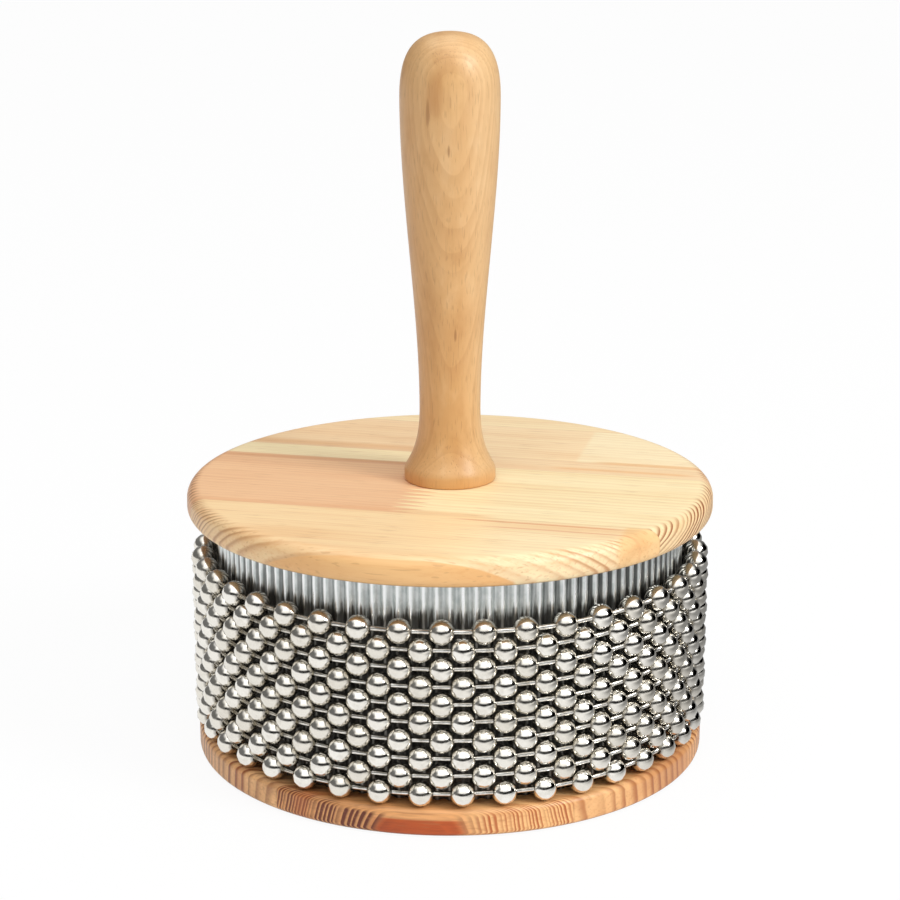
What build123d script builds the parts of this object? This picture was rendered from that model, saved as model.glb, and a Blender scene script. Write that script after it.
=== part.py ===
from build123d import *
import math
import os

# A cabasa: loops of steel ball chain lie loosely round a ribbed steel drum, which is held between two
# wooden discs on the end of a turned wooden handle. One long screw from below clamps the wood together.
# Millimetres, +Z up the handle, origin at the centre of the underside that the instrument stands on.

# Wooden discs
upper_disc_radius = 65.0
upper_disc_thickness = 7.2
upper_disc_top_round = 3.2
upper_disc_under_round = 2.4
lower_disc_radius = 63.5
lower_disc_thickness = 6.6
lower_disc_top_round = 1.6
lower_disc_foot_round = 1.2

# Ribbed steel sleeve, bent round from a strip whose ends meet in a valley at the back
sleeve_crest_radius = 57.8
sleeve_rib_count = 121
sleeve_rib_depth = 0.9
sleeve_thickness = 0.35
sleeve_seam_gap = 0.5
sleeve_seam_angle = 90.0
sleeve_end_gap = 0.1

# Ball chain: hollow beads on short wire links, whose heads are held inside the beads
loop_count = 10
beads_per_loop = 40
bead_radius = 3.0
bead_wall = 0.4
link_wire_radius = 0.6
link_play = 0.1
link_head_play = 0.2
loop_phase = 2.7

# Room that the loops have: to the drum, to the disc below, to each other, and free height above
loop_running_gap = 0.6
loop_seat_gap = 0.25
loop_nest_gap = 0.5
loop_float = 8.2

# Turned handle with a tenon that is glued into the upper disc
handle_length = 109.4
handle_foot_radius = 11.3
handle_foot_height = 3.0
handle_foot_edge_round = 0.5
handle_foot_top_round = 2.0
handle_cove_lead = 3.2
handle_cove_ease = 8.5
handle_neck_radius = 7.5
handle_neck_height = 18.0
handle_grip_radius = 12.05
handle_grip_height = 94.0
handle_end_shoulder = 11.6
handle_end_flat = 8.0
handle_tenon_radius = 6.0
handle_pilot_spare = 2.0

# Countersunk wood screw up the middle
screw_radius = 3.0
screw_length = 90.0
screw_head_radius = 6.0
screw_head_rim = 0.5
screw_head_sink = 0.4
screw_point_length = 6.0
screw_hole_play = 0.2
screw_pilot_play = 0.05
screw_cross_width = 1.2
screw_cross_span = 6.4
screw_cross_depth = 2.4

# Brads that pin the sleeve to the core, in the valleys each side of the seam
brad_radius = 0.5
brad_length = 12.0
brad_head_radius = 0.68
brad_head_height = 0.4
brad_end_margin = 6.0
brad_rows = 3
brad_hole_play = 0.05
brad_seat_play = 0.02

# Clearance between fixed wooden pieces, and between the core and the sleeve round it
joint_gap = 0.05

# Chain layout, worked out from the drum
loop_radius = sleeve_crest_radius + loop_running_gap + bead_radius
bead_step = 360 / beads_per_loop
half_step = math.radians(bead_step / 2)
bead_spacing = 2 * loop_radius * math.sin(half_step)
bead_reach = 2 * bead_radius + loop_nest_gap
nested_rise = math.sqrt(max(0, bead_reach**2 - (bead_spacing / 2) ** 2))
loop_rise = max(nested_rise, bead_radius + link_wire_radius + loop_nest_gap)

# Bead holes leave room for links that run straight from bead to bead, and keep the link heads in
bead_inner_radius = bead_radius - bead_wall
bead_hole_radius = link_wire_radius + bead_radius * math.sin(half_step) + link_play
link_head_radius = (bead_inner_radius - link_head_play) / 2
bead_mouth = math.sqrt(bead_inner_radius**2 - bead_hole_radius**2)
head_mouth = math.sqrt(max(0, link_head_radius**2 - bead_hole_radius**2))
link_head_seat = bead_mouth - head_mouth - link_head_play
link_head_reach = bead_spacing / 2 - link_head_seat

# Heights of the stack, from the underside up
drum_base = lower_disc_thickness
first_loop_height = drum_base + loop_seat_gap + bead_radius
last_loop_height = first_loop_height + (loop_count - 1) * loop_rise
drum_top = last_loop_height + bead_radius + loop_float
drum_height = drum_top - drum_base
upper_disc_top = drum_top + upper_disc_thickness

# Rib geometry: crest and valley are equal arcs that meet on the middle radius
rib_step = 360 / sleeve_rib_count
rib_middle_radius = sleeve_crest_radius - sleeve_rib_depth / 2
rib_valley_radius = sleeve_crest_radius - sleeve_rib_depth
rib_half_chord = rib_middle_radius * math.sin(math.radians(rib_step / 4))
rib_slope = 2 * math.degrees(math.atan(sleeve_rib_depth / 2 / rib_half_chord))
rib_arc_radius = rib_half_chord / math.sin(math.radians(rib_slope))
core_radius = rib_valley_radius - sleeve_thickness - joint_gap

# Brad places: the valleys next to the seam, in rows up the drum
brad_rise = (drum_height - 2 * brad_end_margin) / (brad_rows - 1)
brad_heights = [drum_base + brad_end_margin + row * brad_rise for row in range(brad_rows)]
brad_angles = [sleeve_seam_angle - rib_step, sleeve_seam_angle + rib_step]
brad_places = [Location((0, 0, height), (0, 0, angle)) for height in brad_heights for angle in brad_angles]
brad_sag = rib_arc_radius - math.sqrt(rib_arc_radius**2 - brad_head_radius**2)
brad_seat = rib_valley_radius + brad_sag + brad_seat_play


def polar(radius, degrees):
    """Point at a radius and an angle about the drum's axis."""
    return Vector(radius, 0).rotate(Axis.Z, degrees)


def rib_outline(inset):
    """Closed outline of crests and valleys, set in from the sleeve's outer face by an even amount."""
    crest_radius = sleeve_crest_radius - inset
    valley_radius = rib_valley_radius - inset
    for rib in range(sleeve_rib_count):
        crest = sleeve_seam_angle + (rib + 0.5) * rib_step
        start = crest - rib_step / 4
        middle = crest + rib_step / 4
        end = crest + 3 * rib_step / 4
        rise = polar(rib_middle_radius, start) - polar(inset, start - rib_slope)
        fall = polar(rib_middle_radius, middle) - polar(inset, middle + rib_slope)
        next_rise = polar(rib_middle_radius, end) - polar(inset, end - rib_slope)
        ThreePointArc(rise, polar(crest_radius, crest), fall)
        ThreePointArc(fall, polar(valley_radius, crest + rib_step / 2), next_rise)


os.makedirs("parts", exist_ok=True)

# Lower disc, countersunk from below for the screw
with BuildPart() as lower_disc:
    with BuildSketch():
        Circle(lower_disc_radius)
    extrude(amount=lower_disc_thickness)
    lower_rims = lower_disc.edges().filter_by(GeomType.CIRCLE).sort_by(Axis.Z)
    fillet(lower_rims[-1], lower_disc_top_round)
    fillet(lower_rims[0], lower_disc_foot_round)
    with Locations(Location((0, 0, 0), (180, 0, 0))):
        CounterSinkHole(
            radius=screw_radius + screw_hole_play,
            counter_sink_radius=screw_head_radius + screw_head_sink + screw_head_rim + screw_hole_play,
            counter_sink_angle=90,
        )
lower_disc.part.label = "lower_disc"
export_step(lower_disc.part, "parts/lower_disc.step")

# Upper disc, with the mortise for the handle's tenon
with BuildPart() as upper_disc:
    with BuildSketch(Plane.XY.offset(drum_top)):
        Circle(upper_disc_radius)
    extrude(amount=upper_disc_thickness)
    upper_rims = upper_disc.edges().filter_by(GeomType.CIRCLE).sort_by(Axis.Z)
    fillet(upper_rims[-1], upper_disc_top_round)
    fillet(upper_rims[0], upper_disc_under_round)
    with Locations((0, 0, upper_disc_top)):
        Hole(handle_tenon_radius + joint_gap, depth=upper_disc_thickness)
upper_disc.part.label = "upper_disc"
export_step(upper_disc.part, "parts/upper_disc.step")

# One brad, lying along +X with its head outwards, and the hole that it needs
with BuildPart() as brad:
    with BuildSketch(Plane.YZ.offset(brad_seat)):
        Circle(brad_head_radius)
    extrude(amount=brad_head_height)
    with BuildSketch(Plane.YZ.offset(brad_seat)):
        Circle(brad_radius)
    extrude(amount=-brad_length)
with BuildPart() as brad_hole:
    with BuildSketch(Plane.YZ.offset(brad_seat)):
        Circle(brad_radius + brad_hole_play)
    extrude(amount=-brad_length - brad_hole_play)

# Core: the turned block that carries the sleeve and spaces the discs
with BuildPart() as core:
    with BuildSketch(Plane.XY.offset(drum_base)):
        Circle(core_radius)
        Circle(screw_radius + screw_hole_play, mode=Mode.SUBTRACT)
    extrude(amount=drum_height)
    with Locations(*brad_places):
        add(brad_hole.part, mode=Mode.SUBTRACT)
core.part.label = "core"
export_step(core.part, "parts/core.step")

# Sleeve: ribbed strip round the core, open at its seam
with BuildPart() as sleeve:
    with BuildSketch(Plane.XY.offset(drum_base + sleeve_end_gap)):
        with BuildLine():
            rib_outline(0)
        make_face()
        with BuildLine():
            rib_outline(sleeve_thickness)
        make_face(mode=Mode.SUBTRACT)
        with Locations(Location((0, 0, 0), (0, 0, sleeve_seam_angle))):
            Rectangle(
                sleeve_crest_radius,
                sleeve_seam_gap,
                align=(Align.MIN, Align.CENTER),
                mode=Mode.SUBTRACT,
            )
    extrude(amount=drum_height - 2 * sleeve_end_gap)
    with Locations(*brad_places):
        add(brad_hole.part, mode=Mode.SUBTRACT)
sleeve.part.label = "ribbed_sleeve"
export_step(sleeve.part, "parts/ribbed_sleeve.step")

# Brads along the seam
with BuildPart() as seam_brads:
    with Locations(*brad_places):
        add(brad.part)
seam_brads.part.label = "seam_brads"
export_step(seam_brads.part, "parts/seam_brads.step")

# Handle: tenon, foot, cove up to the neck, swelling grip and a rounded end, bored for the screw
with BuildPart() as handle:
    foot_top = upper_disc_top + handle_foot_height
    neck = upper_disc_top + handle_neck_height
    grip = upper_disc_top + handle_grip_height
    top = upper_disc_top + handle_length
    grip_third = (grip - neck) / 3
    tenon_base = drum_top + joint_gap
    with BuildSketch(Plane.XZ):
        with BuildLine():
            Polyline(
                (0, top),
                (0, tenon_base),
                (handle_tenon_radius, tenon_base),
                (handle_tenon_radius, upper_disc_top),
                (handle_foot_radius, upper_disc_top),
                (handle_foot_radius, foot_top),
            )
            Bezier(
                (handle_foot_radius, foot_top),
                ((handle_foot_radius + handle_neck_radius) / 2, foot_top + handle_cove_lead),
                (handle_neck_radius, neck - handle_cove_ease),
                (handle_neck_radius, neck),
            )
            Bezier(
                (handle_neck_radius, neck),
                (handle_neck_radius, neck + grip_third),
                (handle_grip_radius, grip - grip_third),
                (handle_grip_radius, grip),
            )
            Bezier(
                (handle_grip_radius, grip),
                (handle_grip_radius, grip + handle_end_shoulder),
                (handle_end_flat, top),
                (0, top),
            )
        make_face()
    revolve(axis=Axis.Z)
    foot_rims = handle.edges().filter_by(GeomType.CIRCLE).group_by(SortBy.RADIUS)[-1].sort_by(Axis.Z)
    fillet(foot_rims[0], handle_foot_edge_round)
    foot_rims = handle.edges().filter_by(GeomType.CIRCLE).sort_by_distance((handle_foot_radius, 0, foot_top))
    fillet(foot_rims[0], handle_foot_top_round)
    with BuildSketch(Plane.XY.offset(tenon_base)):
        Circle(screw_radius + screw_pilot_play)
    extrude(amount=screw_head_sink + screw_length + handle_pilot_spare - tenon_base, mode=Mode.SUBTRACT)
handle.part.label = "handle"
export_step(handle.part, "parts/handle.step")

# Screw: countersunk head with a cross recess, shank and point
with BuildPart() as screw:
    cone_base = screw_head_sink + screw_head_rim
    screw_tip = screw_head_sink + screw_length
    with BuildSketch(Plane.XZ):
        with BuildLine():
            Polyline(
                (0, screw_head_sink),
                (screw_head_radius, screw_head_sink),
                (screw_head_radius, cone_base),
                (screw_radius, cone_base + screw_head_radius - screw_radius),
                (screw_radius, screw_tip - screw_point_length),
                (0, screw_tip),
                close=True,
            )
        make_face()
    revolve(axis=Axis.Z)
    with BuildSketch(Plane.XY.offset(screw_head_sink)):
        Rectangle(screw_cross_span, screw_cross_width)
        Rectangle(screw_cross_width, screw_cross_span)
    extrude(amount=screw_cross_depth, mode=Mode.SUBTRACT)
screw.part.label = "centre_screw"
export_step(screw.part, "parts/centre_screw.step")

# One bead: a hollow ball with a hole at each end of its own Y axis
with BuildPart() as bead:
    outer_mouth = math.sqrt(bead_radius**2 - bead_hole_radius**2)
    with BuildSketch():
        with BuildLine():
            ThreePointArc((bead_hole_radius, -outer_mouth), (bead_radius, 0), (bead_hole_radius, outer_mouth))
            Line((bead_hole_radius, outer_mouth), (bead_hole_radius, bead_mouth))
            ThreePointArc(
                (bead_hole_radius, bead_mouth),
                (bead_inner_radius, 0),
                (bead_hole_radius, -bead_mouth),
            )
            Line((bead_hole_radius, -bead_mouth), (bead_hole_radius, -outer_mouth))
        make_face()
    revolve(axis=Axis.Y)

# One link: a straight wire along Y with a round head at each end
with BuildPart() as link:
    with BuildSketch(Plane.XZ.offset(-link_head_reach)):
        Circle(link_wire_radius)
    extrude(amount=2 * link_head_reach)
    with Locations((0, link_head_reach, 0), (0, -link_head_reach, 0)):
        Sphere(link_head_radius)

# The loops, each a ring of beads and a ring of links; every other loop is turned by half a step to nest
for loop in range(loop_count):
    loop_height = first_loop_height + loop * loop_rise
    loop_turn = loop_phase + (loop % 2) * bead_step / 2
    bead_name = f"bead_loop_{loop + 1:02d}"
    link_name = f"link_loop_{loop + 1:02d}"
    with BuildPart() as bead_loop:
        with Locations((0, 0, loop_height)):
            with PolarLocations(loop_radius, beads_per_loop, start_angle=loop_turn):
                add(bead.part)
    bead_loop.part.label = bead_name
    export_step(bead_loop.part, f"parts/{bead_name}.step")
    with BuildPart() as link_loop:
        with Locations((0, 0, loop_height)):
            link_circle = loop_radius * math.cos(half_step)
            with PolarLocations(link_circle, beads_per_loop, start_angle=loop_turn + bead_step / 2):
                add(link.part)
    link_loop.part.label = link_name
    export_step(link_loop.part, f"parts/{link_name}.step")
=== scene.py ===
import math

import bpy
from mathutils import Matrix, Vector


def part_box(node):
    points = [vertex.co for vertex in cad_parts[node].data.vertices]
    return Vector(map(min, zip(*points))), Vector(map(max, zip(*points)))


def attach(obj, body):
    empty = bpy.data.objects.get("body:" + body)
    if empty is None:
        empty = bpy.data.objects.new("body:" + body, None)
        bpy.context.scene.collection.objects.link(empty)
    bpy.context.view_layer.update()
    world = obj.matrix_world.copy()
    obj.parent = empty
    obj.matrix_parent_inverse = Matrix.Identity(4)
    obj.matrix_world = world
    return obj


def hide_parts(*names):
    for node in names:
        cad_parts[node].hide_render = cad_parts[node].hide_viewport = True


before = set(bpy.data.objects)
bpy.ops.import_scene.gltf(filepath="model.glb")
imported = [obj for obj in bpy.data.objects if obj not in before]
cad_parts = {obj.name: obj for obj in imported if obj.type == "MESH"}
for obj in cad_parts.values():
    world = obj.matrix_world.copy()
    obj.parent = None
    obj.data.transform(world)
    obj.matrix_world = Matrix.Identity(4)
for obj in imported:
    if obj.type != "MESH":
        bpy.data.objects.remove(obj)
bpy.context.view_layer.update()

# Sizes in metres and counts, the same as the solids'
MM = 0.001
LOWER_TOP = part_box("lower_disc")[1].z
DRUM_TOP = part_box("upper_disc")[0].z
BOARD_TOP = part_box("upper_disc")[1].z
HANDLE_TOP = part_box("handle")[1].z
UPPER_RADIUS = 65.0 * MM
LOWER_RADIUS = 63.5 * MM
CREST_RADIUS = 57.8 * MM
RIBS = 121
RIB_DEPTH = 0.9 * MM
SHEET = 0.35 * MM
SEAM_GAP = 0.5 * MM
LOOPS = 10
LOOP_RADIUS = 61.4 * MM
BEADS = 40
BEAD_STEP = math.tau / BEADS
FIRST_BEAD = math.radians(2.7)
BEAD_RADIUS = 3.0 * MM
BEAD_HOLE = 0.935 * MM
BEAD_LIP = 0.42 * MM
WIRE_RADIUS = 0.6 * MM
HEAD_RADIUS = 1.2 * MM
HEAD_REACH = 3.35 * MM

# How finely the repeated pieces are drawn. A bead of few sides is swollen to look as large as a round one,
# and edges of more degrees than this stay sharp
RIB_POINTS = 12
BEAD_SIDES = 12
BEAD_SWELL = 1.018
LINK_SIDES = 8
CHAIN_SHARP = 60.0

# How far the beads of a loop stray from a level line
LOOP_WAVE = 0.9 * MM


class Wire:
    """An output in a node tree. Arithmetic on it adds Math nodes, and make() adds any other node."""

    def __init__(self, tree, socket=None):
        self.tree = tree
        self.socket = socket

    def make(self, kind, settings=None, inputs=None, output=0):
        """Add a node: its settings first, then values or links for its sockets, by name or number."""
        node = self.tree.nodes.new(kind)
        for key, value in (settings or {}).items():
            if key == "stops":
                stops = node.color_ramp.elements
                while len(stops) < len(value):
                    stops.new(1.0)
                for stop, (spot, colour) in zip(stops, value):
                    stop.position = spot
                    stop.color = colour
            else:
                setattr(node, key, value)
        for key, value in (inputs or {}).items():
            if isinstance(value, Wire):
                self.tree.links.new(value.socket, node.inputs[key])
            elif value is not None:
                node.inputs[key].default_value = value
        return Wire(self.tree, node.outputs[output] if node.outputs else None)

    def other(self, output):
        """Another output of the same node."""
        return Wire(self.tree, self.socket.node.outputs[output])

    def math(self, operation, first, second=None):
        return self.make("ShaderNodeMath", {"operation": operation}, {0: first, 1: second})

    def __add__(self, value):
        return self.math("ADD", self, value)

    def __radd__(self, value):
        return self.math("ADD", value, self)

    def __sub__(self, value):
        return self.math("SUBTRACT", self, value)

    def __rsub__(self, value):
        return self.math("SUBTRACT", value, self)

    def __mul__(self, value):
        return self.math("MULTIPLY", self, value)

    def __rmul__(self, value):
        return self.math("MULTIPLY", value, self)

    def __truediv__(self, value):
        return self.math("DIVIDE", self, value)

    def __pow__(self, value):
        return self.math("POWER", self, value)

    def __abs__(self):
        return self.math("ABSOLUTE", self)

    def over(self, value):
        return self.math("GREATER_THAN", self, value)

    def most(self, value):
        return self.math("MAXIMUM", self, value)

    def part(self):
        """What is left after whole numbers are taken away."""
        return self.math("FRACT", self)

    def sine(self):
        return self.math("SINE", self)

    def rise(self, low, high):
        """0 up to low, 1 from high on, and a smooth step between; falls instead where high is the lower."""
        settings = {"interpolation_type": "SMOOTHSTEP", "clamp": True}
        ends = {1: low, 2: high, 3: 0.0, 4: 1.0}
        if low > high:
            ends = {1: high, 2: low, 3: 1.0, 4: 0.0}
        return self.make("ShaderNodeMapRange", settings, {0: self, **ends})

    def mix(self, first, second):
        """Colour between two colours, with this value as the share of the second."""
        settings = {"data_type": "RGBA", "clamp_factor": True}
        return self.make("ShaderNodeMix", settings, {0: self, 6: first, 7: second}, 2)

    def split(self):
        parts = self.make("ShaderNodeSeparateXYZ", None, {0: self})
        return parts, parts.other(1), parts.other(2)

    def join(self, x, y, z):
        return self.make("ShaderNodeCombineXYZ", None, {0: x, 1: y, 2: z})

    def noise(self, detail=2.0, roughness=0.5):
        """Cloudy values from 0 to 1 at this place, one cloud to a unit."""
        inputs = {"Vector": self, "Scale": 1.0, "Detail": detail, "Roughness": roughness}
        return self.make("ShaderNodeTexNoise", {"noise_dimensions": "3D"}, inputs)

    def ramp(self, stops):
        return self.make("ShaderNodeValToRGB", {"stops": stops}, {0: self})


def tone(red, green, blue):
    """A colour written as it looks on a screen, from 0 to 255, as linear light."""
    linear = []
    for level in (red / 255, green / 255, blue / 255):
        linear.append(level / 12.92 if level <= 0.04045 else ((level + 0.055) / 1.055) ** 2.4)
    return (*linear, 1.0)


def blank_finish(name):
    """A new material, a wire to build its tree from, and the place in the object in millimetres."""
    material = bpy.data.materials.new(name)
    material.use_nodes = True
    material.node_tree.nodes.clear()
    start = Wire(material.node_tree)
    metres = start.make("ShaderNodeTexCoord", None, None, "Object")
    scaling = {0: metres, "Scale": 1000.0}
    return material, start, start.make("ShaderNodeVectorMath", {"operation": "SCALE"}, scaling)


def surface(start, constants, colour, roughness, height, relief):
    """The shader that ends a finish: constants on its own sockets, and what varies linked. The relief is in
    millimetres."""
    inputs = {"Strength": 1.0, "Distance": relief * MM, "Height": height}
    bump = start.make("ShaderNodeBump", None, inputs)
    varied = {"Base Color": colour, "Roughness": roughness, "Normal": bump}
    shader = start.make("ShaderNodeBsdfPrincipled", None, {**constants, **varied})
    start.make("ShaderNodeOutputMaterial", None, {"Surface": shader})


def growth(phase, late_from=0.45, late_full=0.9, stop=0.06):
    """For each whole ring, pale early wood that darkens slowly to a late line. The line ends over the last
    share of the ring, its stop."""
    ring = phase.part()
    return ring.rise(late_from, late_full) * ring.rise(1.0, 1.0 - stop)


# Growth rings of the handle in millimetres: their width, where their middle is, and its lean with height
HANDLE_RING = 0.9
HANDLE_PITH = (-3.0, 52.0)
HANDLE_LEAN = 0.045

# Small dark marks on the front of the handle: across, height, half width and half height, in millimetres
PIN_MARKS = ((1.3, 105.4, 0.35, 1.7), (-0.3, 150.2, 0.35, 1.6), (-5.2, 159.0, 0.5, 3.6))
SMUDGE = (-3.6, 163.5, 2.8, 7.0)

# Height in millimetres over which the foot of the handle is warmer
FOOT_WARMTH = 5.0


def handle_wood():
    """Turned beech: growth rings whose middle is behind the handle, so they show as arches on the front."""
    material, start, place = blank_finish("handle_wood")
    x, y, z = place.split()
    broad = start.join(x * 0.05, y * 0.05, z * 0.012).noise(2.0)
    bend = start.join(x * 0.09, y * 0.09, z * 0.03).noise(2.0)
    off_x = x - HANDLE_PITH[0] + (bend - 0.5) * 3.0
    off_y = y - HANDLE_PITH[1] - z * HANDLE_LEAN
    radius = (off_x * off_x * 1.4 + off_y * off_y) ** 0.5 + (broad - 0.5) * 3.0
    years = start.join(radius * 0.45, 0.0, 0.0).noise(1.0)
    ring = growth(radius / HANDLE_RING + years * 2.0, late_from=0.1) * (years.rise(0.35, 0.62) * 0.8 + 0.25)
    mottle = start.join(x * 0.22, y * 0.22, z * 0.09).noise(3.0, 0.6)
    streak = start.join(x * 1.7, y * 1.7, z * 0.03).noise(3.0, 0.6)
    pores = start.join(x * 3.2, y * 3.2, z * 0.28).noise(0.0).rise(0.64, 0.76)
    # Painted light and shade: the right side of the handle is lighter and its left side darker.
    painted_light_side, painted_shade_side = x.rise(2.0, 9.0), x.rise(-4.0, -10.0)
    colour = (broad * 0.6 + bend * 0.4).ramp(
        [(0.3, tone(211, 162, 103)), (0.5, tone(224, 178, 121)), (0.7, tone(233, 194, 142))]
    )
    colour = (mottle.rise(0.48, 0.75) * 0.45).mix(colour, tone(198, 144, 84))
    colour = (mottle.rise(0.5, 0.25) * 0.3).mix(colour, tone(238, 203, 154))
    colour = (painted_light_side * 0.35).mix(colour, tone(238, 206, 160))
    colour = (painted_shade_side * 0.3).mix(colour, tone(204, 146, 86))
    colour = (ring * 0.2).mix(colour, tone(182, 122, 68))
    colour = (streak.rise(0.5, 0.85) * 0.3).mix(colour, tone(190, 138, 86))
    colour = (pores * 0.22).mix(colour, tone(150, 100, 58))
    front = y.rise(-1.0, -4.0)
    for mark_x, mark_z, wide, tall in PIN_MARKS:
        far = ((x - mark_x) / wide) ** 2 + ((z - mark_z) / tall) ** 2
        colour = (far.rise(1.3, 0.0) * front * 0.6).mix(colour, tone(146, 92, 46))
    mark_x, mark_z, wide, tall = SMUDGE
    far = (((x - mark_x) / wide) ** 2 + ((z - mark_z) / tall) ** 2) * (bend * 0.8 + 0.6)
    colour = (far.rise(1.0, 0.0) * front * 0.45).mix(colour, tone(184, 122, 62))
    foot = z.rise(BOARD_TOP / MM + FOOT_WARMTH, BOARD_TOP / MM)
    colour = (foot * 0.5).mix(colour, tone(224, 160, 94))
    rough = streak * 0.18 + 0.34 + ring * 0.04
    height = streak * 0.5 + ring * 0.2 - pores * 0.6
    surface(start, {"Coat Weight": 0.12, "Coat Roughness": 0.3}, colour, rough, height, 0.04)
    return material


def board_length(
    pale, late, ring, show, rim, lean, first=0.0, crowd=0.0, heart=None, depth=0.4, calm=0.0, bold=0.7
):
    """One length of board, from its pale early wood and its late lines. Its rings are planes along the grain
    that lean with depth: ring is their width in millimetres, first where they are counted from, and crowd how
    fast their width changes from there on. Show says how dark the late lines are, and rim adds to it over the
    rounded edge. Heart colours what lies before the first ring and below a depth, and above that depth the
    late lines are calm this far along the grain. Bold is the share of a ring that the late wood darkens."""
    return {
        "pale": tone(*pale),
        "late": tone(*late),
        "ring": ring,
        "show": show,
        "rim": rim,
        "lean": lean,
        "first": first,
        "crowd": crowd,
        "heart": tone(*heart) if heart else None,
        "depth": depth,
        "calm": calm,
        "bold": bold,
    }


def length_figure(grain, length):
    """Colour and late lines of one length."""
    sway = (grain["drift"] - 0.5) * 3.0
    past = grain["across"] + grain["down"] * length["lean"] - length["first"] + sway
    phase = past * (past * length["crowd"] + 1.0) / length["ring"]
    years = past.join(phase * 0.37, grain["along"] * 0.01, 0.0).noise(1.0)
    stop = min(0.3, 0.06 + 0.035 * length["ring"])
    ring = growth(phase + years * 1.1, 1.0 - length["bold"], 1.6 - length["bold"], stop)
    ring = ring * (years.rise(0.34, 0.62) * 0.9 + 0.4)
    colour = length["pale"]
    if length["heart"]:
        inner = past.rise(0.4, -0.25)
        below = grain["down"].rise(-length["depth"], -length["depth"] - 0.6)
        colour = (inner * below).mix(colour, length["heart"])
        ring = ring * (1.0 - inner * 0.92)
    if length["calm"]:
        middle = abs(grain["along"] + 3.0).rise(length["calm"], length["calm"] * 0.6)
        ring = ring * (1.0 - middle * grain["down"].rise(-length["depth"], -0.4 * length["depth"]) * 0.9)
    clear = (grain["edge"] * length["rim"] + length["show"]) * (grain["broad"] * 0.9 + 0.5)
    colour = (ring * clear).mix(colour, length["late"])
    colour = (grain["broad"].rise(0.42, 0.75) * 0.34).mix(colour, length["late"])
    return (grain["streak"].rise(0.42, 0.8) * 0.4).mix(colour, length["late"]), ring


# Where the rounded edge of a board begins and where it is full, in millimetres from its rim
EDGE_FROM = 3.6
EDGE_FULL = 0.6


def board_grain(start, place, turn, face, rim):
    """Where a point lies in a board whose grain is turned from X: along, across, down; and its unevenness."""
    x, y, z = place.split()
    cos, sin = math.cos(turn), math.sin(turn)
    along = x * cos - y * sin
    across = x * sin + y * cos
    down = z - face
    edge = ((x * x + y * y) ** 0.5).rise(rim - EDGE_FROM, rim - EDGE_FULL)
    return {
        "along": along,
        "across": across,
        "down": down,
        "edge": edge,
        "end": edge * ((along / rim) ** 2),
        "drift": start.join(along * 0.012, across * 0.04, down * 0.04).noise(2.0),
        "broad": start.join(along * 0.012, across * 0.11, down * 0.11).noise(2.0),
        "streak": start.join(along * 0.025, across * 1.6, down * 1.6).noise(3.0, 0.6),
        "ducts": start.join(along * 0.12, across * 1.9, down * 1.9).noise(0.0),
    }


# Joints of the boards in millimetres
FINGER_PITCH = 3.0
FINGER_LENGTH = 8.5
FINGER_BLUR = 0.15
STAVE_BLUR = 0.12
GLUE_FROM = 0.3
GLUE_FULL = 0.05


def board_figure(grain, staves):
    """Colour and late lines of a board glued up from staves. Each stave: its front edge, its first length,
    then for each joint where it is, how it changes over (fingers, or a soft run in millimetres) and the
    length after it."""
    across, along = grain["across"], grain["along"]
    finger = abs((across / FINGER_PITCH).part() - 0.5) * 2 * FINGER_LENGTH - FINGER_LENGTH / 2
    colour, ring = None, None
    for edge, length, *joints in staves:
        stave_colour, stave_ring = length_figure(grain, length)
        for joint, change, after in joints:
            next_colour, next_ring = length_figure(grain, after)
            if change == "fingers":
                second = (along - joint + finger).rise(-FINGER_BLUR, FINGER_BLUR)
            else:
                second = (along - joint).rise(-change / 2, change / 2)
            stave_colour = second.mix(stave_colour, next_colour)
            stave_ring = stave_ring + (next_ring - stave_ring) * second
        if colour is None:
            colour, ring = stave_colour, stave_ring
            continue
        here = across.rise(edge - STAVE_BLUR, edge + STAVE_BLUR)
        colour = here.mix(colour, stave_colour)
        ring = ring + (stave_ring - ring) * here
        glue = abs(across - edge).rise(GLUE_FROM, GLUE_FULL)
        colour = (glue * 0.25).mix(colour, tone(190, 130, 76))
    return colour, ring


# How softly a band ends along the grain, and how high above the underside the unfinished wood and its painted
# shade begin, in millimetres
BAND_FADE = 8.0
RAW_SHADE_FROM = 0.8
RAW_SHADE_FULL = 0.1


def board_wood(name, turn, face, rim, thick, staves, bands, end_show):
    """Satin softwood board with a few darker bands along its grain; its underside and the lowest part of its
    rim are left unfinished, rougher, and darker with painted shade.
    Each band: from and to along the grain, its middle and half width across it, colour and strength. The
    late lines are darker by end_show where the rim cuts across the grain."""
    material, start, place = blank_finish(name)
    grain = board_grain(start, place, turn, face, rim)
    colour, ring = board_figure(grain, staves)
    for low, high, middle, half, shade, strength in bands:
        wavy = grain["across"] - middle + (grain["drift"] - 0.5) * 2.0
        inside = abs(wavy).rise(half, half * 0.2) * grain["along"].rise(low, low + BAND_FADE)
        inside = inside * grain["along"].rise(high, high - BAND_FADE)
        colour = (inside * strength).mix(colour, tone(*shade))
    ducts = grain["ducts"].rise(0.68, 0.78)
    colour = (ducts * 0.25).mix(colour, tone(176, 116, 66))
    colour = (grain["end"] * 0.3).mix(colour, tone(214, 140, 76))
    colour = (grain["end"] * ring * end_show).mix(colour, tone(150, 80, 36))
    # Painted shade: the underside and the lowest part of the rim are darkened, and made rougher as unfinished
    # wood.
    raw_and_shaded = grain["down"].rise(-thick + RAW_SHADE_FROM, -thick + RAW_SHADE_FULL)
    colour = (raw_and_shaded * 0.6).mix(colour, tone(116, 80, 50))
    rough = grain["streak"] * 0.16 + 0.38 - ring * 0.06 + raw_and_shaded * 0.25
    height = ring * (grain["end"] * 0.4 + 0.15) + grain["streak"] * 0.4 - ducts * 0.4
    surface(start, {"Coat Weight": 0.1, "Coat Roughness": 0.35}, colour, rough, height, 0.06)
    return material


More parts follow.
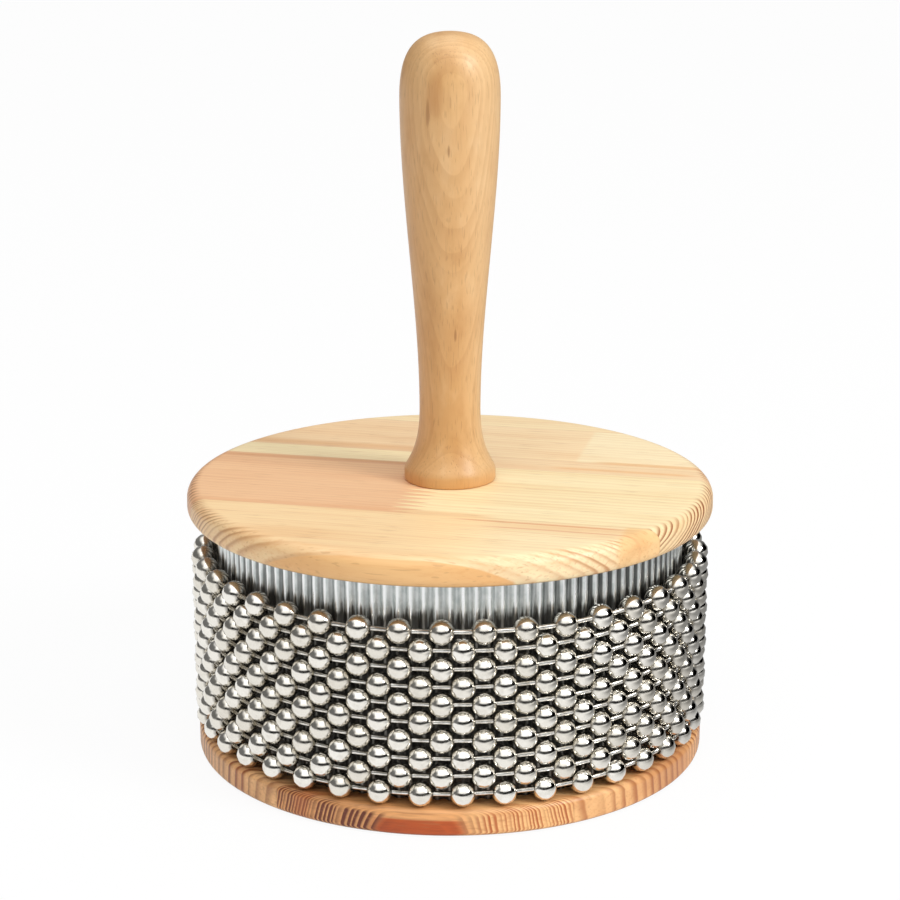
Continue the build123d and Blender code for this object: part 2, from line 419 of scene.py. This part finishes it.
# Staves of the upper board from its front edge to its back, then its darker bands
UPPER_FRONT = {"ring": 7.0, "lean": 1.0, "first": -64.4, "crowd": 0.08}
UPPER_STAVES = (
    (
        -90.0,
        board_length(
            (252, 222, 172), (226, 164, 102), show=0.18, rim=0.2, heart=(243, 194, 132), **UPPER_FRONT
        ),
        (
            16.0,
            34.0,
            board_length(
                (252, 233, 188), (230, 158, 88), show=0.2, rim=0.42, heart=(240, 186, 122), **UPPER_FRONT
            ),
        ),
        (
            49.0,
            2.0,
            board_length(
                (249, 214, 156), (226, 158, 92), 20.0, show=0.3, rim=0.2, lean=-1.1, first=21.0, bold=0.3
            ),
        ),
    ),
    (
        -31.4,
        board_length((244, 199, 153), (222, 160, 112), 2.1, show=0.35, rim=0.2, lean=0.3),
        (-4.0, "fingers", board_length((253, 235, 189), (236, 194, 132), 2.4, show=0.36, rim=0.2, lean=-2.0)),
    ),
    (
        11.2,
        board_length((255, 235, 188), (242, 210, 158), 1.4, show=0.4, rim=0.2, lean=0.2),
        (0.0, 1.0, board_length((248, 219, 176), (230, 180, 124), 2.0, show=0.35, rim=0.2, lean=0.5)),
    ),
    (
        21.1,
        board_length((248, 215, 170), (228, 176, 122), 2.2, show=0.28, rim=0.2, lean=-0.4),
        (-4.0, 1.0, board_length((252, 225, 181), (232, 182, 126), 1.9, show=0.32, rim=0.2, lean=-0.4)),
        (28.0, 1.6, board_length((254, 236, 195), (238, 198, 144), 2.4, show=0.32, rim=0.2, lean=-0.4)),
    ),
    (51.0, board_length((252, 229, 184), (234, 190, 136), 2.2, show=0.3, rim=0.2, lean=-0.5)),
)
UPPER_BANDS = (
    # The first band darkens the board left of the handle, where the handle's shadow falls: a painted shadow.
    (-70.0, 0.0, 9.6, 1.8, (214, 150, 102), 0.55),
    (-70.0, -2.0, 24.0, 3.6, (232, 176, 118), 0.5),
    (6.0, 52.0, -33.4, 0.7, (222, 146, 96), 0.7),
    (14.0, 56.0, -37.6, 0.6, (222, 146, 96), 0.6),
    (20.0, 62.0, 14.6, 1.6, (240, 184, 120), 0.6),
    (30.0, 66.0, 21.6, 2.0, (238, 180, 116), 0.6),
    (-60.0, 20.0, -30.0, 2.0, (232, 172, 122), 0.4),
)

# The same for the lower board
LOWER_FRONT = {
    "ring": 0.32,
    "rim": 0.1,
    "lean": 0.08,
    "first": -63.3,
    "crowd": -0.0217,
    "heart": (200, 88, 22),
    "depth": 2.2,
    "calm": 24.0,
}
LOWER_STAVES = (
    (
        -90.0,
        board_length((250, 182, 116), (98, 36, 10), show=1.1, bold=0.85, **LOWER_FRONT),
        (12.0, 9.0, board_length((254, 204, 140), (190, 102, 48), show=0.85, bold=0.8, **LOWER_FRONT)),
    ),
    (
        -53.0,
        board_length((252, 200, 140), (122, 54, 20), 2.3, show=1.25, rim=0.1, lean=0.1, bold=0.65),
        (0.0, 3.0, board_length((246, 194, 134), (200, 124, 68), 2.6, show=0.45, rim=0.1, lean=0.1)),
    ),
    (-8.0, board_length((226, 178, 130), (180, 114, 66), 2.3, show=0.45, rim=0.1, lean=0.6)),
    (34.0, board_length((222, 174, 124), (174, 108, 62), 2.2, show=0.5, rim=0.1, lean=-0.6)),
)
LOWER_BANDS = (
    (-62.0, 20.0, -44.0, 3.0, (196, 118, 66), 0.4),
    (-62.0, 20.0, -57.0, 1.6, (188, 100, 50), 0.45),
    (42.0, 76.0, -27.0, 15.0, (178, 112, 70), 0.55),
)

# Growth rings of the core in millimetres: their width, and where their middle is
CORE_RING = 2.6
CORE_PITH = (20.0, -30.0)


def core_wood():
    """Plain turned softwood, its rings centred beside the axis."""
    material, start, place = blank_finish("core_wood")
    x, y, z = place.split()
    drift = start.join(x * 0.07, y * 0.07, z * 0.02).noise(2.0)
    radius = ((x - CORE_PITH[0]) ** 2 + (y - CORE_PITH[1]) ** 2) ** 0.5 + (drift - 0.5) * 3.0
    ring = growth(radius / CORE_RING)
    streak = start.join(x * 1.5, y * 1.5, z * 0.03).noise(3.0, 0.6)
    colour = (ring * 0.5).mix(tone(214, 172, 122), tone(168, 112, 66))
    colour = (streak * 0.25).mix(colour, tone(150, 100, 60))
    surface(start, {}, colour, streak * 0.2 + 0.55, streak, 0.05)
    return material


def bead_nickel():
    """Nickel plate: polished, a little different from bead to bead, darker and rougher round the holes, where
    the beads face each other.
    """
    material, start, place = blank_finish("bead_nickel")
    own = start.make("ShaderNodeAttribute", {"attribute_name": "own_place"}, None, "Vector")
    own_tone = start.make("ShaderNodeAttribute", {"attribute_name": "own_tone"}, None, "Fac")
    x, y, z = place.split()
    cloud = start.join(x * 0.45, y * 0.45, z * 0.45).noise(3.0)
    rub = start.join(x * 2.6, y * 2.6, z * 2.6).noise(3.0, 0.65)
    mouth = abs(own.split()[1]).rise(0.82 * BEAD_RADIUS, 0.96 * BEAD_RADIUS)
    colour = own_tone.mix(tone(245, 242, 235), tone(230, 225, 214))
    colour = (cloud.rise(0.4, 0.75) * 0.4).mix(colour, tone(212, 206, 194))
    # Darker round the holes, where the beads face each other.
    colour = (mouth * 0.6).mix(colour, tone(92, 83, 72))
    colour = (rub.rise(0.6, 0.8) * 0.2).mix(colour, tone(170, 162, 150))
    rough = own_tone * 0.05 + rub * 0.12 + mouth * 0.12 + 0.09
    surface(start, {"Metallic": 1.0}, colour, rough, rub, 0.004)
    return material


def link_steel():
    """Drawn wire with the same plating, duller than the beads."""
    material, start, place = blank_finish("link_steel")
    x, y, z = place.split()
    cloud = start.join(x * 0.7, y * 0.7, z * 0.7).noise(3.0)
    drawn = start.join(x * 1.2, y * 1.2, z * 9.0).noise(2.0)
    colour = cloud.rise(0.35, 0.75).mix(tone(240, 238, 232), tone(206, 200, 190))
    rough = cloud * 0.12 + drawn * 0.08 + 0.12
    surface(start, {"Metallic": 1.0}, colour, rough, drawn, 0.01)
    return material


# Heights in millimetres between which the painted shade behind the chain sets in on the sleeve
CHAIN_SHADE_FROM = 52.6
CHAIN_SHADE_FULL = 50.2


def sleeve_steel():
    """Bright sheet: smoother crests with a painted highlight, valleys with painted shade, and painted shade
    in the ribs at the sides and where the chain runs.
    """
    material, start, place = blank_finish("sleeve_steel")
    x, y, z = place.split()
    out = (x * x + y * y) ** 0.5
    crest_radius = CREST_RADIUS / MM
    crest = out.rise(crest_radius - 0.14, crest_radius - 0.02)
    valley = out.rise(crest_radius - 0.3, crest_radius - 0.6)
    spangle = start.join(x * 0.55, y * 0.55, z * 0.4).noise(3.0, 0.6)
    drawn = start.join(x * 5.0, y * 5.0, z * 0.05).noise(2.0)
    shade_wobble = start.join(x * 0.2, y * 0.2, z * 0.3).noise(2.0)
    spike = start.join(x * 1.3, y * 1.3, z * 0.06).noise(1.0)
    colour = spangle.rise(0.35, 0.7).mix(tone(242, 246, 245), tone(221, 228, 227))
    # Painted shade darkens the valleys, and a painted highlight lightens the crests.
    colour = (valley * 0.2).mix(colour, tone(150, 156, 158))
    colour = (crest * 0.9).mix(colour, tone(252, 253, 253))
    # Painted shade in the ribs: the deep valleys towards the right side, and the valleys on the left side,
    # are darkened.
    deep = (crest_radius - out + x.rise(32.0, 50.0) * 0.12).rise(0.34, 0.62)
    painted_valley_shade = (deep * x.rise(8.0, 34.0) + valley * x.rise(-12.0, -44.0) * 0.7) * spike.rise(0.15, 0.4)
    colour = (painted_valley_shade * 0.82).mix(colour, tone(32, 30, 26))
    # Painted shade on the sleeve behind the chain, darker towards the right, with the crests lighter as a
    # painted highlight; it is also made rougher.
    chain_shade = (z + (shade_wobble - 0.5) * 3.0 + (spike - 0.5) * 9.0).rise(CHAIN_SHADE_FROM, CHAIN_SHADE_FULL)
    dark = x.rise(0.0, 40.0).mix(tone(92, 89, 83), tone(54, 52, 48))
    dark = crest.mix(dark, tone(140, 137, 130))
    colour = (chain_shade * 0.92).mix(colour, dark)
    rough = spangle * 0.16 + drawn * 0.08 - crest * 0.16 + chain_shade * 0.1 + 0.34
    surface(start, {"Metallic": 1.0}, colour, rough, drawn, 0.01)
    return material


def zinc_steel(name):
    """Zinc plate on screw and brads: cloudy, with a few scratches."""
    material, start, place = blank_finish(name)
    x, y, z = place.split()
    cloud = start.join(x * 0.6, y * 0.6, z * 0.6).noise(3.0)
    scratch = start.join(x * 6.0, y * 1.0, z * 4.0).noise(2.0)
    colour = cloud.rise(0.35, 0.75).mix(tone(196, 195, 190), tone(150, 148, 142))
    surface(start, {"Metallic": 1.0}, colour, cloud * 0.2 + scratch * 0.1 + 0.18, scratch, 0.015)
    return material


def lathe(name, outline, segments, material, sharp=50.0, along="z", bored=False):
    """A closed turned mesh from points (radius, height): flat across its first and last ring, or bored."""
    points, faces = [], []
    for radius, height in outline:
        for step in range(segments):
            turn = math.tau * step / segments
            a, b = radius * math.cos(turn), radius * math.sin(turn)
            points.append((a, b, height) if along == "z" else (b, height, a))
    rings = len(outline)
    for ring in range(rings if bored else rings - 1):
        low, high = ring * segments, (ring + 1) % rings * segments
        for step in range(segments):
            after = (step + 1) % segments
            faces.append((low + step, low + after, high + after, high + step))
    if not bored:
        last = (rings - 1) * segments
        faces.append(tuple(reversed(range(segments))))
        faces.append(tuple(range(last, last + segments)))
    mesh = bpy.data.meshes.new(name)
    mesh.from_pydata(points, [], faces)
    mesh.validate()
    mesh.shade_smooth()
    mesh.set_sharp_from_angle(angle=math.radians(sharp))
    mesh.materials.append(material)
    piece = bpy.data.objects.new(name, mesh)
    bpy.context.scene.collection.objects.link(piece)
    return piece


def arc(middle, radius, start, end, steps):
    """Points along an arc, angles in degrees from straight out, without its first point."""
    points = []
    for step in range(1, steps + 1):
        turn = math.radians(start + (end - start) * step / steps)
        points.append((middle[0] + radius * math.cos(turn), middle[1] + radius * math.sin(turn)))
    return points


def bow(p0, p1, p2, p3, steps):
    """Points along a curve pulled by its two middle points, without its first point."""
    points = []
    for step in range(1, steps + 1):
        t = step / steps
        shares = ((1 - t) ** 3, 3 * t * (1 - t) ** 2, 3 * t * t * (1 - t), t**3)
        points.append(tuple(sum(s * p[axis] for s, p in zip(shares, (p0, p1, p2, p3))) for axis in (0, 1)))
    return points


def run(start, end, steps):
    """Points along a straight line, without its first point."""
    shares = [step / steps for step in range(1, steps + 1)]
    return [tuple(start[axis] + (end[axis] - start[axis]) * share for axis in (0, 1)) for share in shares]


def seat(piece, body, node):
    """Let a piece move with a body and stand for its solid, whose part is hidden."""
    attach(piece, body)
    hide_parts(node)


def make_handle(material):
    foot, neck, grip, tenon = 11.3 * MM, 7.5 * MM, 12.05 * MM, 6.0 * MM
    edge, shoulder, flat = 0.5 * MM, 11.6 * MM, 8.0 * MM
    base, top, clear = BOARD_TOP, HANDLE_TOP, 0.05 * MM
    foot_z, neck_z, grip_z = base + 3.0 * MM, base + 18.0 * MM, base + 94.0 * MM
    third = (grip_z - neck_z) / 3
    tenon_z = DRUM_TOP + clear
    outline = [(tenon * 0.5, tenon_z), (tenon, tenon_z), (tenon, base)]
    outline += run((tenon, base), (foot - edge, base), 2)
    outline += arc((foot - edge, base + edge), edge, -90, 0, 4)
    outline += [(foot, base + 1.4 * MM), (foot, base + 2.2 * MM), (foot - 0.03 * MM, base + 2.6 * MM)]
    outline += [(foot - 0.13 * MM, foot_z)]
    cove_low, cove_high = ((foot + neck) / 2, foot_z + 3.2 * MM), (neck, neck_z - 8.5 * MM)
    outline += bow((foot, foot_z), cove_low, cove_high, (neck, neck_z), 26)[1:]
    outline += bow((neck, neck_z), (neck, neck_z + third), (grip, grip_z - third), (grip, grip_z), 48)
    outline += bow((grip, grip_z), (grip, grip_z + shoulder), (flat, top), (0, top), 30)[:-1]
    seat(lathe("handle_turned", outline, 96, material), "drum", "handle")


def make_upper_board(material):
    top_round, low_round, mortise = 3.2 * MM, 2.4 * MM, 6.05 * MM
    rim, low, high = UPPER_RADIUS, DRUM_TOP, BOARD_TOP
    outline = [(mortise, low)] + run((mortise, low), (rim - low_round, low), 20)
    outline += arc((rim - low_round, low + low_round), low_round, -90, 0, 8)
    outline += arc((rim - top_round, high - top_round), top_round, 0, 90, 10)
    outline += run((rim - top_round, high), (mortise, high), 40)
    seat(lathe("upper_board", outline, 192, material, bored=True), "drum", "upper_disc")


def make_lower_board(material):
    top_round, foot_round, bore, sink = 1.6 * MM, 1.2 * MM, 3.2 * MM, 7.1 * MM
    rim, high = LOWER_RADIUS, LOWER_TOP
    outline = [(bore, sink - bore), (sink, 0.0)]
    outline += run((sink, 0.0), (rim - foot_round, 0.0), 20)
    outline += arc((rim - foot_round, foot_round), foot_round, -90, 0, 6)
    outline += run((rim, foot_round), (rim, high - top_round), 5)
    outline += arc((rim - top_round, high - top_round), top_round, 0, 90, 6)
    outline += run((rim - top_round, high), (bore, high), 12)
    seat(lathe("lower_board", outline, 192, material, bored=True), "drum", "lower_disc")


def geometry_tree(name, sockets):
    """A geometry tree with these named inputs: the tree, a wire to build from, the inputs and their keys."""
    tree = bpy.data.node_groups.new(name, "GeometryNodeTree")
    tree.interface.new_socket("Geometry", in_out="OUTPUT", socket_type="NodeSocketGeometry")
    keys = {}
    for label, kind in sockets.items():
        socket = tree.interface.new_socket(label, in_out="INPUT", socket_type="NodeSocket" + kind)
        keys[label] = socket.identifier
    start = Wire(tree)
    group = start.make("NodeGroupInput")
    return tree, start, {label: group.other(label) for label in sockets}, keys


def grown(name, tree, keys, values):
    """Run a geometry tree with these inputs and keep the result as a plain mesh."""
    piece = bpy.data.objects.new(name, bpy.data.meshes.new(name))
    bpy.context.scene.collection.objects.link(piece)
    modifier = piece.modifiers.new(name, "NODES")
    modifier.node_group = tree
    for label, value in values.items():
        modifier[keys[label]] = value
    graph = bpy.context.evaluated_depsgraph_get()
    mesh = bpy.data.meshes.new_from_object(piece.evaluated_get(graph))
    piece.modifiers.remove(modifier)
    empty = piece.data
    piece.data = mesh
    bpy.data.meshes.remove(empty)
    mesh.name = name
    return piece


def finish_tree(start, geometry, finish):
    """The end of every tree: real faces, their finish, and the output."""
    real = start.make("GeometryNodeRealizeInstances", None, {"Geometry": geometry})
    done = start.make("GeometryNodeSetMaterial", None, {"Geometry": real, "Material": finish})
    start.make("NodeGroupOutput", None, {"Geometry": done})


def loop_tree():
    """Copies of one shape round a loop, each spun by chance about its own length, in a slightly wavy line."""
    sockets = {
        "Shape": "Object",
        "Count": "Int",
        "Radius": "Float",
        "Height": "Float",
        "First Angle": "Float",
        "Unevenness": "Float",
        "Loop": "Int",
        "Seed": "Int",
        "Finish": "Material",
    }
    tree, start, given, keys = geometry_tree("chain_loop", sockets)
    index = start.make("GeometryNodeInputIndex")
    turn = index * math.tau / given["Count"] + given["First Angle"]
    east, north = (turn + math.pi / 2).sine(), turn.sine()
    wave = start.join(east * 1.8, north * 1.8, given["Loop"] * 0.37).noise(2.0) - 0.5
    height = given["Height"] + wave * given["Unevenness"]
    points = start.make("GeometryNodePoints", None, {"Count": given["Count"]})
    where = start.join(east * given["Radius"], north * given["Radius"], height)
    points = start.make("GeometryNodeSetPosition", None, {"Geometry": points, "Position": where})
    chance = {2: 0.0, 3: 1.0, "Seed": given["Seed"]}
    own_tone = start.make("FunctionNodeRandomValue", {"data_type": "FLOAT"}, chance, 1)
    chance = {2: 0.0, 3: math.tau, "Seed": given["Seed"] + 100}
    spin = start.make("FunctionNodeRandomValue", {"data_type": "FLOAT"}, chance, 1)
    shape = start.make("GeometryNodeObjectInfo", None, {"Object": given["Shape"]}, "Geometry")
    place = {"Geometry": shape, "Name": "own_place", "Value": start.make("GeometryNodeInputPosition")}
    shape = start.make("GeometryNodeStoreNamedAttribute", {"data_type": "FLOAT_VECTOR"}, place)
    own_turn = start.make("FunctionNodeEulerToRotation", None, {0: start.join(0.0, spin, 0.0)})
    loop_turn = start.make("FunctionNodeEulerToRotation", None, {0: start.join(0.0, 0.0, turn)})
    local = {"rotation_space": "LOCAL"}
    facing = start.make("FunctionNodeRotateRotation", local, {0: loop_turn, 1: own_turn})
    inputs = {"Points": points, "Instance": shape, "Rotation": facing}
    copies = start.make("GeometryNodeInstanceOnPoints", None, inputs)
    inputs = {"Geometry": copies, "Name": "own_tone", "Value": own_tone}
    copies = start.make("GeometryNodeStoreNamedAttribute", {"domain": "INSTANCE"}, inputs)
    finish_tree(start, copies, given["Finish"])
    return tree, keys


def make_chain(bead_finish, link_finish):
    mouth = math.sqrt(BEAD_RADIUS**2 - BEAD_HOLE**2)
    edge = math.degrees(math.atan2(mouth, BEAD_HOLE))
    outline = [(BEAD_HOLE, -mouth + BEAD_LIP), (BEAD_HOLE, -mouth)]
    outline += arc((0, 0), BEAD_RADIUS * BEAD_SWELL, -edge, edge, 6)
    outline += [(BEAD_HOLE, mouth - BEAD_LIP)]
    bead = lathe("bead_shape", outline, BEAD_SIDES, bead_finish, CHAIN_SHARP, "y")
    outline = arc((0, -HEAD_REACH), HEAD_RADIUS, -80, 60, 3)
    outline += [(WIRE_RADIUS, -0.75 * HEAD_REACH), (WIRE_RADIUS, 0.75 * HEAD_REACH)]
    outline += arc((0, HEAD_REACH), HEAD_RADIUS, -60, 80, 3)
    link = lathe("link_shape", outline, LINK_SIDES, link_finish, CHAIN_SHARP, "y")
    tree, keys = loop_tree()
    for loop in range(LOOPS):
        number = f"{loop + 1:02d}"
        low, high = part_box(f"bead_loop_{number}")
        first = FIRST_BEAD + (loop % 2) * BEAD_STEP / 2
        shared = {
            "Count": BEADS,
            "Height": (low.z + high.z) / 2,
            "Unevenness": LOOP_WAVE,
            "Loop": loop,
            "Seed": loop + 1,
        }
        beads = {"Shape": bead, "Radius": LOOP_RADIUS, "First Angle": first, "Finish": bead_finish}
        piece = grown(f"chain_beads_{number}", tree, keys, {**shared, **beads})
        seat(piece, f"loop_{number}", f"bead_loop_{number}")
        links = {
            "Shape": link,
            "Radius": LOOP_RADIUS * math.cos(BEAD_STEP / 2),
            "First Angle": first + BEAD_STEP / 2,
            "Finish": link_finish,
        }
        piece = grown(f"chain_links_{number}", tree, keys, {**shared, **links})
        seat(piece, f"loop_{number}", f"link_loop_{number}")
    for shape in (bead, link):
        bpy.data.objects.remove(shape)


def sleeve_tree():
    """A ribbed strip: a wavy path round the core, open at its seam, with the sheet swept along it."""
    sockets = {
        "Ribs": "Int",
        "Points Per Rib": "Int",
        "Crest Radius": "Float",
        "Rib Depth": "Float",
        "Sheet": "Float",
        "Low": "Float",
        "High": "Float",
        "Seam": "Float",
        "Finish": "Material",
    }
    tree, start, given, keys = geometry_tree("ribbed_strip", sockets)
    count = given["Ribs"] * given["Points Per Rib"] + 1
    gap = given["Seam"] / given["Crest Radius"]
    turn = start.make("GeometryNodeInputIndex") / (count - 1) * (math.tau - gap) + gap / 2
    sunk = (turn * given["Ribs"] + math.pi / 2).sine() * 0.5 + 0.5
    radius = given["Crest Radius"] - given["Sheet"] / 2 - sunk * given["Rib Depth"]
    east, north = (turn + math.pi).sine(), (turn + math.pi / 2).sine()
    where = start.join(east * radius, north * radius, (given["Low"] + given["High"]) / 2)
    path = start.make("GeometryNodeMeshLine", None, {"Count": count})
    path = start.make("GeometryNodeSetPosition", None, {"Geometry": path, "Position": where})
    path = start.make("GeometryNodeMeshToCurve", None, {"Mesh": path})
    path = start.make("GeometryNodeSetCurveNormal", {"mode": "Z_UP"}, {"Curve": path})
    size = {"Width": given["Sheet"], "Height": given["High"] - given["Low"]}
    section = start.make("GeometryNodeCurvePrimitiveQuadrilateral", None, size)
    inputs = {"Curve": path, "Profile Curve": section, "Fill Caps": True}
    sheet = start.make("GeometryNodeCurveToMesh", None, inputs)
    smooth = {"Geometry": sheet, "Shade Smooth": True}
    sheet = start.make("GeometryNodeSetShadeSmooth", {"domain": "FACE"}, smooth)
    corner = start.make("GeometryNodeInputMeshEdgeAngle").over(math.radians(60))
    sharp = {"Geometry": sheet, "Selection": corner, "Shade Smooth": False}
    sheet = start.make("GeometryNodeSetShadeSmooth", {"domain": "EDGE"}, sharp)
    finish_tree(start, sheet, given["Finish"])
    return tree, keys


def make_sleeve(material):
    tree, keys = sleeve_tree()
    low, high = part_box("ribbed_sleeve")
    values = {
        "Ribs": RIBS,
        "Points Per Rib": RIB_POINTS,
        "Crest Radius": CREST_RADIUS,
        "Rib Depth": RIB_DEPTH,
        "Sheet": SHEET,
        "Low": low.z,
        "High": high.z,
        "Seam": SEAM_GAP,
        "Finish": material,
    }
    seat(grown("ribbed_drum", tree, keys, values), "drum", "ribbed_sleeve")


def dress(node, material):
    """Give a solid that stays as it is its finish."""
    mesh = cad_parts[node].data
    mesh.materials.clear()
    mesh.materials.append(material)


def make_floor():
    """Pale floor with a soft shadow: white to the camera, and in reflections darker to the right and far
    ahead."""
    material, start, place = blank_finish("floor_white")
    seen = start.make("ShaderNodeLightPath", None, None, "Is Camera Ray")
    mirrored = seen.other("Is Glossy Ray").most(seen.other("Is Transmission Ray"))
    x, y, z = place.split()
    right = x.rise(20.0, 120.0) * y.rise(-240.0, -50.0)
    ahead = y.rise(-290.0, -520.0) * abs(x).rise(320.0, 120.0)
    level = seen + mirrored * (1.0 - right * 0.8) * (1.0 - ahead * 0.8)
    grey = start.join(level, level, level)
    glow = start.make("ShaderNodeEmission", None, {"Color": grey, "Strength": 1.0})
    paper = start.join(x * 0.004, y * 0.004, z).noise(2.0) * 0.03 + 0.88
    matt = start.make("ShaderNodeBsdfDiffuse", None, {"Color": start.join(paper, paper, paper)})
    both = start.make("ShaderNodeMixShader", None, {0: seen.most(mirrored) * 0.92, 1: matt, 2: glow})
    start.make("ShaderNodeOutputMaterial", None, {"Surface": both})
    side, drop = 8.0, 0.2 * MM
    corners = [(-side, -side, 0), (side, -side, 0), (side, side, 0), (-side, side, 0)]
    mesh = bpy.data.meshes.new("floor")
    mesh.from_pydata(corners, [], [(0, 1, 2, 3)])
    mesh.materials.append(material)
    floor = bpy.data.objects.new("floor", mesh)
    floor.location.z = -drop
    bpy.context.scene.collection.objects.link(floor)


def make_world():
    """Soft studio: a wide bright window ahead, a bright ceiling, dimmer sides and a dark strip low ahead."""
    world = bpy.data.worlds.new("studio")
    bpy.context.scene.world = world
    world.use_nodes = True
    world.node_tree.nodes.clear()
    start = Wire(world.node_tree)
    x, y, z = start.make("ShaderNodeTexCoord", None, None, "Generated").split()
    ahead = (0.0 - y) / ((x * x + y * y) ** 0.5 + 0.001)
    window = ahead.rise(0.55, 0.88) * z.rise(0.34, 0.46)
    strip = z.rise(0.42, 0.32) * ahead.rise(0.6, 0.9)
    level = window * 1.02 + z.rise(0.6, 0.95) * 1.15 + 0.24
    level = level - x.rise(0.2, 0.9) * 0.26 - x.rise(-0.3, -0.9) * 0.08
    level = level * (1.0 - strip * 0.96)
    seen = start.make("ShaderNodeLightPath", None, None, "Is Camera Ray")
    light = start.make("ShaderNodeBackground", None, {"Color": start.join(level, level, level)})
    white = start.make("ShaderNodeBackground", None, {"Color": (1, 1, 1, 1), "Strength": 1.0})
    both = start.make("ShaderNodeMixShader", None, {0: seen, 1: light, 2: white})
    start.make("ShaderNodeOutputWorld", None, {"Surface": both})


def add_lamp(name, where, size, power):
    """A round soft lamp that looks at the object, near its middle."""
    lamp = bpy.data.lights.new(name, "AREA")
    lamp.shape = "DISK"
    lamp.size = size
    lamp.energy = power
    holder = bpy.data.objects.new(name, lamp)
    holder.location = where
    middle = Vector((0, 0, 80 * MM))
    aim = middle - Vector(where)
    holder.rotation_euler = aim.to_track_quat("-Z", "Y").to_euler()
    bpy.context.scene.collection.objects.link(holder)


def make_camera():
    """The photograph's view: a long lens, a little above the object."""
    camera = bpy.data.cameras.new("photo_view")
    camera.sensor_width = 36.0
    camera.lens = 91.5
    camera.clip_start = 0.01
    camera.clip_end = 50.0
    holder = bpy.data.objects.new("photo_view", camera)
    aim = Vector((0, 0, 74.6 * MM))
    pitch, distance = math.radians(15.5), 565.8
    holder.location = aim + Vector((0, -math.cos(pitch), math.sin(pitch))) * distance * MM
    holder.rotation_euler = (math.pi / 2 - pitch, 0, 0)
    bpy.context.scene.collection.objects.link(holder)
    bpy.context.scene.camera = holder


make_camera()
make_floor()
make_world()
add_lamp("key", where=(0.95, -0.6, 0.85), size=0.5, power=10.0)
bpy.context.scene.view_settings.view_transform = "Standard"

make_handle(handle_wood())
upper_wood = board_wood(
    "disc_wood",
    turn=math.radians(13),
    face=BOARD_TOP / MM,
    rim=UPPER_RADIUS / MM,
    thick=(BOARD_TOP - DRUM_TOP) / MM,
    staves=UPPER_STAVES,
    bands=UPPER_BANDS,
    end_show=1.1,
)
make_upper_board(upper_wood)
lower_wood = board_wood(
    "rim_wood",
    turn=math.radians(6.5),
    face=LOWER_TOP / MM,
    rim=LOWER_RADIUS / MM,
    thick=LOWER_TOP / MM,
    staves=LOWER_STAVES,
    bands=LOWER_BANDS,
    end_show=0.75,
)
make_lower_board(lower_wood)
make_chain(bead_nickel(), link_steel())
make_sleeve(sleeve_steel())
dress("core", core_wood())
dress("seam_brads", zinc_steel("brad_steel"))
dress("centre_screw", zinc_steel("screw_steel"))
